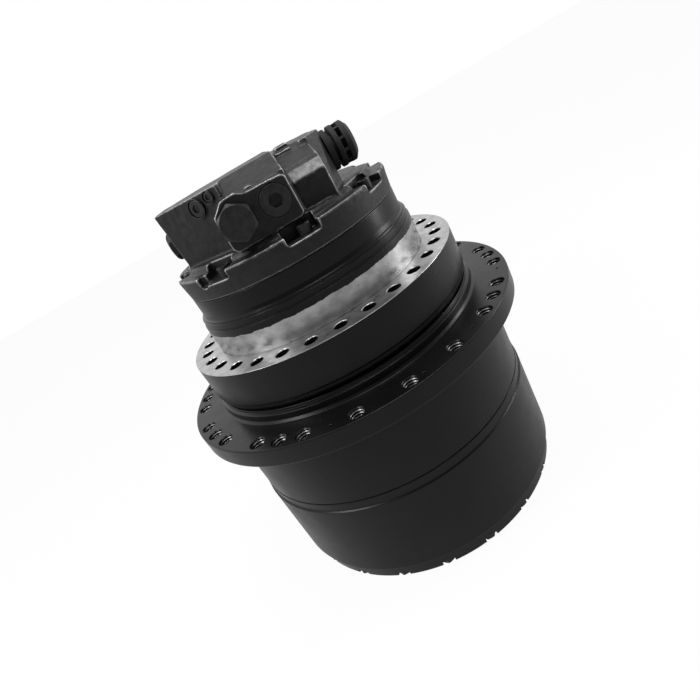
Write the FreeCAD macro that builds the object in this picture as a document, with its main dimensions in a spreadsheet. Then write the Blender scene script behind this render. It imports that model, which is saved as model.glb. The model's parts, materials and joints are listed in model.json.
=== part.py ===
import FreeCAD, Part
import math
import os
import re
import Sketcher

# Excavator final drive: a hydraulic track motor on a two-stage planetary gear case.
#
# Frame: millimetres, +Z along the axis of rotation and towards the motor. The origin is
# the centre of the machined face that seats on the track frame. The gear cover is the
# lowest piece, so the drive stands upright on it. "Level" in a name is a height on Z.
#
# The hub casting is bolted to the machine and stays still. The sprocket housing, the ring
# gear and the gear cover turn round it on two bearings. The motor shaft drives sun gear 1,
# carrier 1 drives sun gear 2, and carrier 2 is fixed to the hub.

V = FreeCAD.Vector

# alias, value in mm (angles in degrees), meaning
SIZES = [
    ("frame_flange_radius", 189, "hub flange, outer radius, which the sprocket passes over"),
    ("frame_flange_depth", 54, "hub flange, from the frame face down to its lip"),
    ("frame_bolt_count", 30, "frame bolt holes"),
    ("frame_hole_radius", 8, "frame bolt hole"),
    ("frame_hole_depth", 34, "frame bolt hole, blind"),
    ("frame_pilot_radius", 151, "machined boss that centres the hub in the track frame"),
    ("frame_pilot_height", 36, "top of that boss"),
    ("boss_groove_depth", 1.5, "turned groove at the foot of the boss"),
    ("boss_groove_height", 2.2, "height of that groove"),
    ("casing_seat_depth", 2, "recess of the hub that the motor casing stands in"),
    ("band_radius", 149.5, "band above the boss, which the track frame's plate passes over"),
    ("band_height", 8, "height of the band"),
    ("casing_radius", 147, "motor casing and end cover flange"),
    ("cover_joint_level", 73, "joint of the motor casing and the end cover"),
    ("motor_bore_radius", 108, "bore of the motor casing round the brake"),
    ("swash_bay_radius", 100, "bore of the motor casing below the brake"),
    ("brake_seat_level", 20, "ledge that the brake plate sits on"),
    ("bulkhead_top", -54, "floor of the motor bore"),
    ("bulkhead_bottom", -94, "underside of the wall under the motor"),
    ("shaft_bearing_radius", 42, "outside of the motor shaft's bearing"),
    ("spindle_bore_radius", 95, "hollow of the spindle"),
    ("spindle_shoulder", 10, "shoulder above the upper main bearing, out from its bore"),
    ("bearing_bore_radius", 120, "bore of the main bearings"),
    ("bearing_outer_radius", 155, "outside of the main bearings"),
    ("bearing_width", 33, "width of each main bearing"),
    ("bearing_top_level", -97, "top of the upper main bearing"),
    ("bearing_rib", 12, "rib of the housing between the two main bearings"),
    ("working_gap", 0.3, "gap between faces that turn against each other"),
    ("fit_gap", 0.05, "radial clearance of a running fit"),
    ("seal_gap", 3, "open gap between the hub lip and the housing collar"),
    ("collar_wall", 14.5, "wall of the collar round the pocket of the face seal"),
    ("seal_pocket_level", -86, "floor of that pocket"),
    ("seal_pocket_gap", 4, "radial gap between the face seal rings and the wall of that pocket"),
    ("seal_ring_width", 22, "face seal rings, from inside to outside"),
    ("seal_band_width", 12, "sealing band of the face seal rings"),
    ("sprocket_pilot_radius", 190.5, "collar that centres the sprocket"),
    ("sprocket_face_level", -72, "face that the sprocket seats on"),
    ("sprocket_flange_width", 33, "sprocket flange, out from the gear case"),
    ("sprocket_flange_thickness", 24, "sprocket flange"),
    ("sprocket_edge_distance", 14, "from the sprocket bolt holes to the edge of the flange"),
    ("sprocket_hole_radius", 8.75, "sprocket bolt hole"),
    ("sprocket_hole_places", 44, "equal places on that circle, not all drilled"),
    ("case_radius", 203, "gear case of the sprocket housing"),
    ("case_joint_level", -197, "joint of the sprocket housing and the ring gear"),
    ("ring_gear_radius", 205.5, "ring gear, outer radius"),
    ("ring_gear_length", 125, "ring gear, from joint to joint"),
    ("ring_step_radius", 204, "turned step at the top of the ring gear"),
    ("ring_step_height", 13, "height of that step"),
    ("gear_cover_radius", 202.5, "gear cover, outer radius"),
    ("gear_cover_thickness", 22, "gear cover rim"),
    ("gear_cover_spigot_radius", 158, "spigot of the gear cover in the ring gear"),
    ("gear_cover_spigot_height", 8, "height of that spigot"),
    ("gear_cover_bevel", 3, "bevel round the underside of the gear cover"),
    ("cover_notch_count", 20, "screw recesses round the gear cover"),
    ("cover_notch_width", 17.5, "width of a screw recess"),
    ("cover_notch_depth", 7, "height of a screw recess"),
    ("cover_notch_radius", 183, "inner end of a screw recess"),
    ("oil_plug_circle", 128, "radius of the circle of oil plugs"),
    ("oil_plug_radius", 17, "oil plug head"),
    ("oil_plug_thread_radius", 12, "oil plug thread"),
    ("oil_plug_recess", 11, "depth of the recess that holds an oil plug head"),
    ("gear_module", 6, "module of all the gears"),
    ("ring_teeth", 56, "teeth of the ring gear"),
    ("sun_one_teeth", 10, "teeth of sun gear 1"),
    ("planet_one_teeth", 23, "teeth of each planet gear of stage 1"),
    ("sun_two_teeth", 16, "teeth of sun gear 2"),
    ("planet_two_teeth", 20, "teeth of each planet gear of stage 2"),
    ("planet_count", 3, "planet gears of each stage"),
    ("tooth_backlash", 0.5, "thinning of each tooth at the pitch circle"),
    ("stage_two_top", -202, "top of the stage 2 planet gears"),
    ("stage_two_width", 55, "face width of the stage 2 gears"),
    ("stage_one_top", -277, "top of the stage 1 planet gears"),
    ("stage_one_width", 32, "face width of the stage 1 gears"),
    ("carrier_two_radius", 133, "plate of carrier 2"),
    ("carrier_two_thickness", 20, "plate of carrier 2"),
    ("carrier_two_spigot", 14, "spigot of carrier 2 in the spindle"),
    ("carrier_two_bore", 60, "bore of carrier 2"),
    ("pin_two_radius", 20, "planet pins of stage 2"),
    ("carrier_one_radius", 122, "plate of carrier 1"),
    ("carrier_one_thickness", 12, "plate of carrier 1"),
    ("carrier_one_top", -262, "top of carrier 1"),
    ("sun_two_journal", 38, "journal of sun gear 2 in carrier 1"),
    ("sun_two_bore", 27, "bore of sun gear 2, which the sun shaft passes through"),
    ("pin_one_radius", 16, "planet pins of stage 1"),
    ("pin_overhang", 2.5, "planet pin beyond its gear"),
    ("shaft_radius", 22, "motor shaft and sun shaft"),
    ("shaft_tip_radius", 18, "end of the motor shaft in the end cover"),
    ("shaft_tip_length", 24, "length of that end"),
    ("shaft_joint_level", -122, "where the motor shaft meets the sun shaft"),
    ("coupling_radius", 33, "splined coupling of the two shafts"),
    ("coupling_length", 40, "length of the coupling"),
    ("shaft_bearing_width", 20, "width of the motor shaft's bearing"),
    ("shaft_seal_width", 8, "width of the motor shaft's seal"),
    ("block_radius", 68, "cylinder block"),
    ("block_bottom", 8, "underside of the cylinder block"),
    ("block_top", 64, "top of the cylinder block"),
    ("piston_count", 9, "pistons"),
    ("piston_circle", 47, "radius of the circle of pistons"),
    ("piston_radius", 9, "piston"),
    ("piston_length", 46, "piston"),
    ("piston_bore_depth", 46, "piston bores, from the underside of the cylinder block"),
    ("brake_plate_bore", 76, "bore of the brake plate and of the brake piston"),
    ("brake_plate_thickness", 5, "brake plate"),
    ("friction_disc_radius", 98, "friction disc, outside"),
    ("friction_disc_thickness", 4, "friction disc"),
    ("brake_piston_height", 25, "brake piston"),
    ("brake_spring_count", 6, "brake springs"),
    ("brake_spring_circle", 92, "radius of the circle of brake springs"),
    ("brake_spring_radius", 7, "brake springs, outside"),
    ("valve_plate_radius", 62, "valve plate, outside"),
    ("valve_plate_bore", 30, "valve plate, bore"),
    ("swash_level", -26, "tilt axis of the swash plate"),
    ("swash_length", 128, "swash plate across its tilt axis"),
    ("swash_width", 120, "swash plate along its tilt axis"),
    ("swash_thickness", 16, "swash plate"),
    ("swash_bore", 34, "opening of the swash plate for the shaft"),
    ("swash_angle", 14, "tilt of the swash plate at low speed"),
    ("trunnion_radius", 11, "trunnions of the swash plate"),
    ("trunnion_length", 20, "length of each trunnion"),
    ("cradle_width", 18, "cradle under each trunnion, along the axis"),
    ("cradle_depth", 40, "cradle, across the axis"),
    ("end_flange_top", 102, "top of the end cover's flange"),
    ("pocket_count", 8, "screw pockets round the end cover"),
    ("pocket_start", 5, "angle of the first screw pocket"),
    ("pocket_width", 38, "width of a screw pocket"),
    ("pocket_depth", 10, "height of a screw pocket"),
    ("pocket_inner_radius", 118, "inner wall of a screw pocket"),
    ("block_head_top", 177, "top of the end cover"),
    ("valve_level", 136, "axis of the spool and of the relief valve"),
    ("spool_offset", -38, "spool axis, along X"),
    ("relief_offset", 6.5, "relief valve axis, along X"),
    ("spool_boss_radius", 24.5, "boss round the spool"),
    ("relief_boss_radius", 20.5, "boss round the relief valve"),
    ("boss_front", -128, "front of the two bosses, along Y"),
    ("spool_radius", 14, "spool"),
    ("spool_bore_end", 55, "inner end of the spool bore, along Y"),
    ("spool_length", 105, "spool"),
    ("spool_waist", 34, "narrow middle of the spool"),
    ("spool_plug_stem", 16, "plug in the mouth of the spool bore"),
    ("spring_length", 31, "each spool spring at rest"),
    ("hex_plug_width", 36, "hexagon of the spool plug, across flats"),
    ("hex_plug_height", 11, "head of the spool plug"),
    ("relief_head_radius", 16.5, "head of the relief valve"),
    ("relief_head_height", 6, "head of the relief valve"),
    ("relief_socket_width", 14, "hexagon socket of the relief valve, across flats"),
    ("relief_stem_radius", 10, "cartridge of the relief valve"),
    ("relief_stem_length", 46, "cartridge of the relief valve"),
    ("gallery_plug_radius", 11, "larger gallery plug"),
    ("gallery_plug_small_radius", 7, "smaller gallery plug"),
    ("gallery_plug_length", 14, "gallery plugs, in the cover"),
    ("plug_proud", 1.5, "gallery plugs, in front of their face"),
    ("side_plug_width", 30, "hexagon of the side plug, across flats"),
    ("side_plug_height", 8, "head of the side plug"),
    ("side_plug_stem_radius", 10, "thread of the side plug"),
    ("main_port_radius", 16, "main ports, thread"),
    ("main_port_depth", 24, "main ports, depth of thread"),
    ("main_port_spacing", 64, "between the two main ports"),
    ("drain_port_radius", 9, "case drain port, thread"),
    ("drain_port_depth", 16, "case drain port, depth of thread"),
    ("cap_radius", 25, "plug of the side port, outside"),
    ("cap_length", 34, "plug of the side port, outside the port"),
    ("cap_stem_radius", 13, "plug of the side port, in the port"),
]

# Radii and levels worked out from the sizes
WORKED_OUT = {
    "boss_groove_radius": "frame_pilot_radius - boss_groove_depth",
    "frame_bolt_circle": "(frame_flange_radius + frame_pilot_radius) / 2",
    "sprocket_flange_radius": "case_radius + sprocket_flange_width",
    "sprocket_bolt_circle": "case_radius + sprocket_flange_width - sprocket_edge_distance",
    "spindle_shoulder_radius": "bearing_bore_radius + spindle_shoulder",
    "race_wide_radius": "0.4 * bearing_bore_radius + 0.6 * bearing_outer_radius",
    "race_narrow_radius": "0.6 * bearing_bore_radius + 0.4 * bearing_outer_radius",
    "bearing_rib_radius": "0.2 * bearing_bore_radius + 0.8 * bearing_outer_radius",
    "seal_pocket_radius": "sprocket_pilot_radius - collar_wall",
    "seal_outer_radius": "sprocket_pilot_radius - collar_wall - seal_pocket_gap",
    "seal_inner_radius": "sprocket_pilot_radius - collar_wall - seal_pocket_gap - seal_ring_width",
    "seal_nose_radius": "sprocket_pilot_radius - collar_wall - seal_pocket_gap - seal_band_width",
    "collar_top": "-frame_flange_depth - seal_gap",
    "sprocket_flange_bottom": "sprocket_face_level - sprocket_flange_thickness",
    "upper_bearing_bottom": "bearing_top_level - bearing_width",
    "lower_bearing_top": "bearing_top_level - bearing_width - bearing_rib",
    "lower_bearing_bottom": "bearing_top_level - 2 * bearing_width - bearing_rib",
    "ring_bottom": "case_joint_level - ring_gear_length",
    "base_level": "case_joint_level - ring_gear_length - gear_cover_thickness",
    "seal_face_level": "(seal_pocket_level - frame_flange_depth) / 2",
    "band_bottom": "frame_pilot_height",
    "band_top": "frame_pilot_height + band_height",
    "spool_start": "boss_front + spool_plug_stem + spring_length",
    "shaft_bearing_top": "bulkhead_top - working_gap",
}

doc = FreeCAD.newDocument("final_drive")
sheet = doc.addObject("Spreadsheet::Sheet", "Sizes")
pieces = {}


def write_sheet():
    """Put the driving dimensions in the sheet, and those worked out from them."""
    for row, (alias, value, meaning) in enumerate(SIZES, start=1):
        sheet.set(f"A{row}", meaning)
        sheet.set(f"B{row}", str(value))
        sheet.setAlias(f"B{row}", alias)
    for row, (alias, formula) in enumerate(WORKED_OUT.items(), start=len(SIZES) + 2):
        own = re.sub(r"[a-z_]{3,}", lambda word: CELL_OF[word.group()], formula)
        sheet.set(f"A{row}", alias.replace("_", " "))
        sheet.set(f"B{row}", "=" + own)
        sheet.setAlias(f"B{row}", alias)
    doc.recompute()


CELL_OF = {alias: f"B{row}" for row, (alias, _, _) in enumerate(SIZES, start=1)}
ALIASES = set(CELL_OF) | set(WORKED_OUT)


def cells(formula):
    """The formula with each size written as a reference to its cell."""
    def named(word):
        return "Sizes." + word.group() if word.group() in ALIASES else word.group()

    return re.sub(r"[a-z_]+", named, str(formula))


def size(formula):
    """The formula's present value."""
    return float(sheet.evalExpression(cells(formula)))


# ---- sketches and PartDesign features ----


def new_body(name):
    body = doc.addObject("PartDesign::Body", name)
    body.Label = name
    return body


def new_sketch(body, plane, offset="0"):
    """A sketch on one of the body's own planes, moved along the plane's normal."""
    sketch = body.newObject("Sketcher::SketchObject", body.Name + "_sketch")
    planes = {feature.Role: feature for feature in body.Origin.OriginFeatures}
    sketch.AttachmentSupport = [(planes[plane], "")]
    sketch.MapMode = "FlatFace"
    sketch.setExpression("AttachmentOffset.Base.z", cells(offset))
    return sketch


def hold(sketch, kind, place, formula):
    """One dimension of a sketch, bound to the sheet."""
    index = sketch.addConstraint(Sketcher.Constraint(kind, *place, size(formula)))
    sketch.setExpression(f"Constraints[{index}]", cells(formula))


def draw_outline(sketch, corners):
    """A closed outline whose corners are held from the sketch's origin."""
    count = len(corners)
    guess = [V(size(x), size(y), 0) for x, y in corners]
    first = sketch.GeometryCount
    for k in range(count):
        sketch.addGeometry(Part.LineSegment(guess[k], guess[(k + 1) % count]), False)
    for k in range(count):
        following = first + (k + 1) % count
        sketch.addConstraint(Sketcher.Constraint("Coincident", first + k, 2, following, 1))
    for k, (x, y) in enumerate(corners):
        hold(sketch, "DistanceX", (-1, 1, first + k, 1), x)
        hold(sketch, "DistanceY", (-1, 1, first + k, 1), y)


def draw_circle(sketch, x, y, radius):
    index = sketch.addGeometry(Part.Circle(V(size(x), size(y), 0), V(0, 0, 1), size(radius)))
    hold(sketch, "DistanceX", (-1, 1, index, 3), x)
    hold(sketch, "DistanceY", (-1, 1, index, 3), y)
    hold(sketch, "Radius", (index,), radius)


def turn(body, profile):
    """Turn a profile of (radius, level) corners about the Z axis."""
    sketch = new_sketch(body, "XZ_Plane")
    draw_outline(sketch, profile)
    revolution = body.newObject("PartDesign::Revolution", body.Name + "_turned")
    revolution.Profile = sketch
    revolution.ReferenceAxis = (sketch, ["V_Axis"])
    revolution.Angle = 360
    return revolution


def cut_in(body, sketch, depth, upward=False):
    """A pocket from the sketch, downwards unless upward is set."""
    pocket = body.newObject("PartDesign::Pocket", body.Name + "_pocket")
    pocket.Profile = sketch
    pocket.Type = "Length"
    pocket.Reversed = upward
    pocket.setExpression("Length", cells(depth))
    return pocket


def repeat_round(body, feature, count):
    """The feature copied at equal steps round the Z axis."""
    pattern = body.newObject("PartDesign::PolarPattern", body.Name + "_pattern")
    pattern.Originals = [feature]
    axes = {item.Role: item for item in body.Origin.OriginFeatures}
    pattern.Axis = (axes["Z_Axis"], [""])
    pattern.Angle = 360
    pattern.setExpression("Occurrences", cells(count))
    body.Tip = pattern
    return pattern


def turned_piece(name, profile):
    body = new_body(name)
    turn(body, profile)
    pieces[name] = body
    return body


# ---- Part primitives and booleans ----


def bind(item, **formulas):
    for field, formula in formulas.items():
        item.setExpression(field.replace("__", "."), cells(formula))
    return item


def cylinder(name, radius, height, base=("0", "0", "0"), axis=V(0, 0, 1)):
    item = doc.addObject("Part::Cylinder", name)
    item.Placement = FreeCAD.Placement(V(), FreeCAD.Rotation(V(0, 0, 1), axis))
    bind(item, Radius=radius, Height=height, Placement__Base__x=base[0])
    return bind(item, Placement__Base__y=base[1], Placement__Base__z=base[2])


def block(name, length, width, height, base):
    item = doc.addObject("Part::Box", name)
    bind(item, Length=length, Width=width, Height=height, Placement__Base__x=base[0])
    return bind(item, Placement__Base__y=base[1], Placement__Base__z=base[2])


def hexagon(name, across_flats, height, base, axis):
    """A hexagonal prism along the axis."""
    item = doc.addObject("Part::Prism", name)
    item.Polygon = 6
    item.Placement = FreeCAD.Placement(V(), FreeCAD.Rotation(V(0, 0, 1), axis))
    bind(item, Circumradius=f"({across_flats}) / sqrt(3)", Height=height)
    bind(item, Placement__Base__x=base[0], Placement__Base__y=base[1])
    return bind(item, Placement__Base__z=base[2])


def fused(name, items):
    item = doc.addObject("Part::MultiFuse", name)
    item.Shapes = items
    item.Refine = True
    return item


def cut(name, base, tools):
    item = doc.addObject("Part::Cut", name)
    item.Base = base
    item.Tool = tools[0] if len(tools) == 1 else fused(name + "_tools", tools)
    item.Refine = True
    return item


def group(name, items):
    """Identical or like pieces that share a node as separate solids."""
    item = doc.addObject("Part::Compound", name)
    item.Links = items
    return item


def keep(item, name):
    item.Label = name
    pieces[name] = item
    return item


def round_place(radius, degrees):
    """Formulas for the place at an angle from the front, turning towards +X."""
    return (f"({radius}) * sin({degrees})", f"-({radius}) * cos({degrees})")


# ---- gear teeth ----

PRESSURE_ANGLE = math.radians(20)
ADDENDUM = 0.9
DEDENDUM = 1.2


def involute(angle):
    return math.tan(angle) - angle


def tooth_half_angle(teeth, radius, thinning, inside):
    """Half the angle that a tooth takes up at a radius."""
    pitch_radius = size("gear_module") * teeth / 2
    base_radius = pitch_radius * math.cos(PRESSURE_ANGLE)
    at_radius = math.acos(min(1, base_radius / radius))
    flank = involute(PRESSURE_ANGLE) - involute(at_radius)
    if inside:
        space = math.pi / (2 * teeth) + thinning / (2 * pitch_radius) + flank
        return math.pi / teeth - space
    return math.pi / (2 * teeth) - thinning / (2 * pitch_radius) + flank


def toothed_prism(teeth, bottom, height, inside=False):
    """A prism with straight-flanked teeth, one of them centred on +X.

    With inside set, it is the hollow of a ring gear, and the teeth are its walls.
    """
    module = size("gear_module")
    pitch_radius = module * teeth / 2
    sign = -1 if inside else 1
    root = pitch_radius - sign * DEDENDUM * module
    tip = pitch_radius + sign * ADDENDUM * module
    corners = []
    for tooth in range(teeth):
        centre = 2 * math.pi * tooth / teeth
        for radius, side in ((root, -1), (tip, -1), (tip, 1), (root, 1)):
            half = tooth_half_angle(teeth, radius, size("tooth_backlash"), inside)
            angle = centre + side * half
            corners.append(V(radius * math.cos(angle), radius * math.sin(angle), bottom))
    face = Part.Face(Part.makePolygon(corners + corners[:1]))
    return face.extrude(V(0, 0, height))


def teeth_item(name, teeth, bottom, height, inside=False):
    item = doc.addObject("Part::Feature", name)
    item.Shape = toothed_prism(int(size(teeth)), size(bottom), size(height), inside)
    return item


def planet_turn(ring_teeth, planet_teeth, place):
    """The turn that puts a planet in mesh with a ring tooth that is centred on +X."""
    phase = (place * ring_teeth / 360 - 0.5) % 1
    return place - phase * 360 / planet_teeth


def sun_turn(sun_teeth, planet_teeth, ring_teeth):
    """The turn that puts a sun in mesh with the planet on +X, and so with all of them."""
    planet_phase = (180 - planet_turn(ring_teeth, planet_teeth, 0)) * planet_teeth / 360
    return -((0.5 - planet_phase) % 1) * 360 / sun_teeth


def turned_on_z(item, degrees, x=0, y=0):
    item.Placement = FreeCAD.Placement(V(x, y, 0), FreeCAD.Rotation(V(0, 0, 1), degrees))
    return item


def teeth_of(*gears):
    return [int(size(f"{gear}_teeth")) for gear in gears]


# ---- the pieces that stay still ----


def make_hub_casting():
    """Frame flange and spindle, with the swash plate's cradles in its hollow."""
    body = new_body("hub_casting")
    turn(body, [
        ("bearing_bore_radius", "lower_bearing_bottom"),
        ("bearing_bore_radius", "bearing_top_level"),
        ("spindle_shoulder_radius", "bearing_top_level"),
        ("spindle_shoulder_radius", "-frame_flange_depth"),
        ("frame_flange_radius", "-frame_flange_depth"),
        ("frame_flange_radius", "0"),
        ("boss_groove_radius", "0"),
        ("boss_groove_radius", "-casing_seat_depth"),
        ("swash_bay_radius", "-casing_seat_depth"),
        ("swash_bay_radius", "bulkhead_top"),
        ("shaft_bearing_radius", "bulkhead_top"),
        ("shaft_bearing_radius", "bulkhead_bottom"),
        ("spindle_bore_radius", "bulkhead_bottom"),
        ("spindle_bore_radius", "lower_bearing_bottom"),
    ])
    holes = new_sketch(body, "XY_Plane")
    draw_circle(holes, "0", "-frame_bolt_circle", "frame_hole_radius")
    repeat_round(body, cut_in(body, holes, "frame_hole_depth"), "frame_bolt_count")

    outer = "swash_width / 2 + trunnion_length"
    cradles = []
    for side in (1, -1):
        start = "swash_width / 2 + working_gap" if side > 0 else f"-({outer})"
        base = (start, "-cradle_depth / 2", "bulkhead_top")
        height = "swash_level - bulkhead_top"
        cradles.append(block("cradle", "trunnion_length - working_gap", "cradle_depth", height, base))
    seat_base = (f"-({outer})", "0", "swash_level")
    seat = cylinder("cradle_seat", "trunnion_radius + fit_gap", f"2 * ({outer})", seat_base, V(1, 0, 0))
    casting = cut("hub_with_cradles", fused("hub_raw", [body, *cradles]), [seat])
    keep(casting, "hub_casting")
    body.Label = "hub_casting_turned"


def make_motor_casing():
    """The boss that centres the drive in the track frame, and the wall round the motor."""
    turned_piece("motor_casing", [
        ("swash_bay_radius", "-casing_seat_depth"),
        ("boss_groove_radius", "-casing_seat_depth"),
        ("boss_groove_radius", "boss_groove_height"),
        ("frame_pilot_radius", "boss_groove_height"),
        ("frame_pilot_radius", "band_bottom"),
        ("band_radius", "band_bottom"),
        ("band_radius", "band_top"),
        ("casing_radius", "band_top"),
        ("casing_radius", "cover_joint_level"),
        ("motor_bore_radius", "cover_joint_level"),
        ("motor_bore_radius", "brake_seat_level"),
        ("swash_bay_radius", "brake_seat_level"),
    ])


def make_end_cover():
    """The motor's rear cover, which holds the valves and the ports."""
    flange = cylinder(
        "cover_flange", "casing_radius", "end_flange_top - cover_joint_level", ("0", "0", "cover_joint_level")
    )
    pockets = []
    for k in range(int(size("pocket_count"))):
        pocket = block(
            "screw_pocket",
            "pocket_width",
            "casing_radius",
            "pocket_depth",
            ("-pocket_width / 2", "-casing_radius - pocket_inner_radius", "end_flange_top - pocket_depth"),
        )
        turned = doc.addObject("Part::Compound", "screw_pocket_turned")
        turned.Links = [pocket]
        angle = f"pocket_start + {k} * 360 / pocket_count"
        turned.setExpression("Placement.Rotation.Angle", cells(angle))
        pockets.append(turned)
    pocketed = cut("cover_flange_pocketed", flange, pockets)

    head = new_body("cover_head")
    plan = new_sketch(head, "XY_Plane", "end_flange_top")
    draw_outline(plan, HEAD_PLAN)
    pad = head.newObject("PartDesign::Pad", "cover_head_pad")
    pad.Profile = plan
    bind(pad, Length="block_head_top - end_flange_top")
    for start, length, section in HEAD_SLOPES:
        side = new_sketch(head, "YZ_Plane", start)
        draw_outline(side, section)
        slope = head.newObject("PartDesign::Pocket", "cover_head_slope")
        slope.Profile = side
        slope.Type = "Length"
        slope.Reversed = True
        bind(slope, Length=length)

    bosses = [
        cylinder("spool_boss", "spool_boss_radius", "-boss_front", ("spool_offset", "boss_front", "valve_level"), V(0, 1, 0)),
        cylinder("relief_boss", "relief_boss_radius", "-boss_front", ("relief_offset", "boss_front", "valve_level"), V(0, 1, 0)),
        block(
            "boss_web",
            "relief_offset - spool_offset",
            "-boss_front",
            "spool_boss_radius + relief_boss_radius - 2 * working_gap",
            ("spool_offset", "boss_front", "valve_level - spool_boss_radius"),
        ),
    ]
    bores = [
        cylinder("spool_bore", "spool_radius + fit_gap", "spool_bore_end - boss_front",
                 ("spool_offset", "boss_front", "valve_level"), V(0, 1, 0)),
        cylinder("relief_bore", "relief_stem_radius", "relief_stem_length",
                 ("relief_offset", "boss_front", "valve_level"), V(0, 1, 0)),
        cylinder("tip_bore", "shaft_tip_radius + fit_gap", "shaft_tip_length + working_gap",
                 ("0", "0", "cover_joint_level")),
        cylinder("side_plug_bore", "side_plug_stem_radius", "gallery_plug_length",
                 SIDE_PLUG, V(1, 0, 0)),
        cylinder("cap_bore", "cap_stem_radius", "gallery_plug_length", CAP_PLACE, V(-1, 0, 0)),
        cylinder("drain_bore", "drain_port_radius", "drain_port_depth", DRAIN_PLACE, V(0, -1, 0)),
    ]
    for side in (1, -1):
        base = (f"{side} * main_port_spacing / 2", HEAD_BACK, "valve_level + 8")
        bores.append(cylinder("main_port", "main_port_radius", "main_port_depth", base, V(0, -1, 0)))
    for radius, share, level in GALLERY_PLUGS:
        (x, y), inward = gallery_place(share)
        bores.append(cylinder("gallery_bore", radius, "gallery_plug_length", (x, y, level), inward))
    keep(cut("end_cover", fused("cover_raw", [pocketed, head, *bosses]), bores), "end_cover")


# The head of the end cover, seen from above
HEAD_LEFT = "-121"
HEAD_BACK = "86"
HEAD_RIGHT = "88"
HEAD_PLAN = [
    (HEAD_LEFT, "-45"),
    ("-40", "-110"),
    ("31", "-112"),
    ("70", "-110"),
    (HEAD_RIGHT, "-62"),
    (HEAD_RIGHT, "44"),
    ("62", HEAD_BACK),
    ("-78", HEAD_BACK),
    (HEAD_LEFT, "38"),
]

# Slopes cut across the top: start along X, length along X, and section (Y, level)
HEAD_SLOPES = [
    ("-36", "68", [
        ("-114", "158"),
        ("-112", "158"),
        ("-72", "block_head_top"),
        ("-72", "block_head_top + 1"),
        ("-114", "block_head_top + 1"),
    ]),
    ("32", "60", [
        ("-116", "139"),
        ("-110", "139"),
        ("-100", "150"),
        ("-98", "155"),
        ("-58", "172"),
        ("90", "172"),
        ("90", "block_head_top + 1"),
        ("-116", "block_head_top + 1"),
    ]),
]

# Plugs of the slanted left face: radius, share of the way along that face, level
GALLERY_PLUGS = [
    ("gallery_plug_radius", 0.63, "164"),
    ("gallery_plug_small_radius", 0.85, "169"),
]
SIDE_PLUG = (HEAD_LEFT, "-14", "valve_level")
CAP_PLACE = (HEAD_RIGHT, "-34", "valve_level + 8")
DRAIN_PLACE = ("-58", HEAD_BACK, "valve_level - 16")


def gallery_place(share):
    """Formulas for a place on the slanted left face, and the way into the face."""
    (x1, y1), (x2, y2) = HEAD_PLAN[:2]
    place = (f"{x1} + {share} * ({x2} - ({x1}))", f"{y1} + {share} * ({y2} - ({y1}))")
    return place, V(size(f"{y1} - ({y2})"), size(f"{x2} - ({x1})"), 0).normalize()


def make_cover_plugs():
    """The plugs and the cartridge that close the end cover's bores."""
    head = hexagon("spool_plug_head", "hex_plug_width", "hex_plug_height",
                   ("spool_offset", "boss_front - hex_plug_height", "valve_level"), V(0, 1, 0))
    stem = cylinder("spool_plug_stem", "spool_radius + fit_gap", "spool_plug_stem",
                    ("spool_offset", "boss_front", "valve_level"), V(0, 1, 0))
    keep(fused("spool_plug", [head, stem]), "spool_plug")

    front = ("relief_offset", "boss_front - relief_head_height", "valve_level")
    head = cylinder("relief_head", "relief_head_radius", "relief_head_height", front, V(0, 1, 0))
    stem = cylinder("relief_stem", "relief_stem_radius", "relief_stem_length",
                    ("relief_offset", "boss_front", "valve_level"), V(0, 1, 0))
    socket = hexagon("relief_socket", "relief_socket_width", "relief_head_height + 4", front, V(0, 1, 0))
    keep(cut("relief_valve", fused("relief_raw", [head, stem]), [socket]), "relief_valve")

    plugs = []
    for radius, share, level in GALLERY_PLUGS:
        (x, y), inward = gallery_place(share)
        base = (f"{x} - plug_proud * {inward.x}", f"{y} - plug_proud * {inward.y}", level)
        plug = cylinder("gallery_plug", f"{radius} - fit_gap", "gallery_plug_length + plug_proud", base, inward)
        socket = hexagon("gallery_socket", radius, "gallery_plug_length / 2", base, inward)
        plugs.append(cut("gallery_plug_cut", plug, [socket]))
    keep(group("gallery_plugs", plugs), "gallery_plugs")

    x, y, z = SIDE_PLUG
    head = hexagon("side_plug_head", "side_plug_width", "side_plug_height",
                   (f"{x} - side_plug_height", y, z), V(1, 0, 0))
    stem = cylinder("side_plug_stem", "side_plug_stem_radius", "gallery_plug_length", SIDE_PLUG, V(1, 0, 0))
    keep(fused("side_plug", [head, stem]), "side_plug")

    x, y, z = CAP_PLACE
    grip = cylinder("cap_grip", "cap_radius", "cap_length", CAP_PLACE, V(1, 0, 0))
    stem = cylinder("cap_stem", "cap_stem_radius", "gallery_plug_length",
                    (f"{x} - gallery_plug_length", y, z), V(1, 0, 0))
    keep(fused("port_plug", [grip, stem]), "port_plug")


def make_spool():
    """The counterbalance spool, which slides along Y between two springs."""
    start = ("spool_offset", "spool_start", "valve_level")
    rod = cylinder("spool_rod", "spool_radius", "spool_length", start, V(0, 1, 0))
    base = ("spool_offset", "spool_start + spool_length * 0.35", "valve_level")
    outside = cylinder("waist_outside", "spool_radius + 1", "spool_waist", base, V(0, 1, 0))
    inside = cylinder("waist_inside", "spool_radius / 2", "spool_waist", base, V(0, 1, 0))
    keep(cut("counterbalance_spool", rod, [cut("spool_waist", outside, [inside])]), "counterbalance_spool")

    springs = []
    for start in ("boss_front + spool_plug_stem", "spool_start + spool_length"):
        base = ("spool_offset", start, "valve_level")
        length = "spring_length" if "stem" in start else "spool_bore_end - spool_start - spool_length"
        outside = cylinder("spring_outside", "spool_radius - 2", length, base, V(0, 1, 0))
        inside = cylinder("spring_inside", "spool_radius - 5", length, base, V(0, 1, 0))
        springs.append(cut("spool_spring", outside, [inside]))
    keep(group("spool_springs", springs), "spool_springs")


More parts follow.
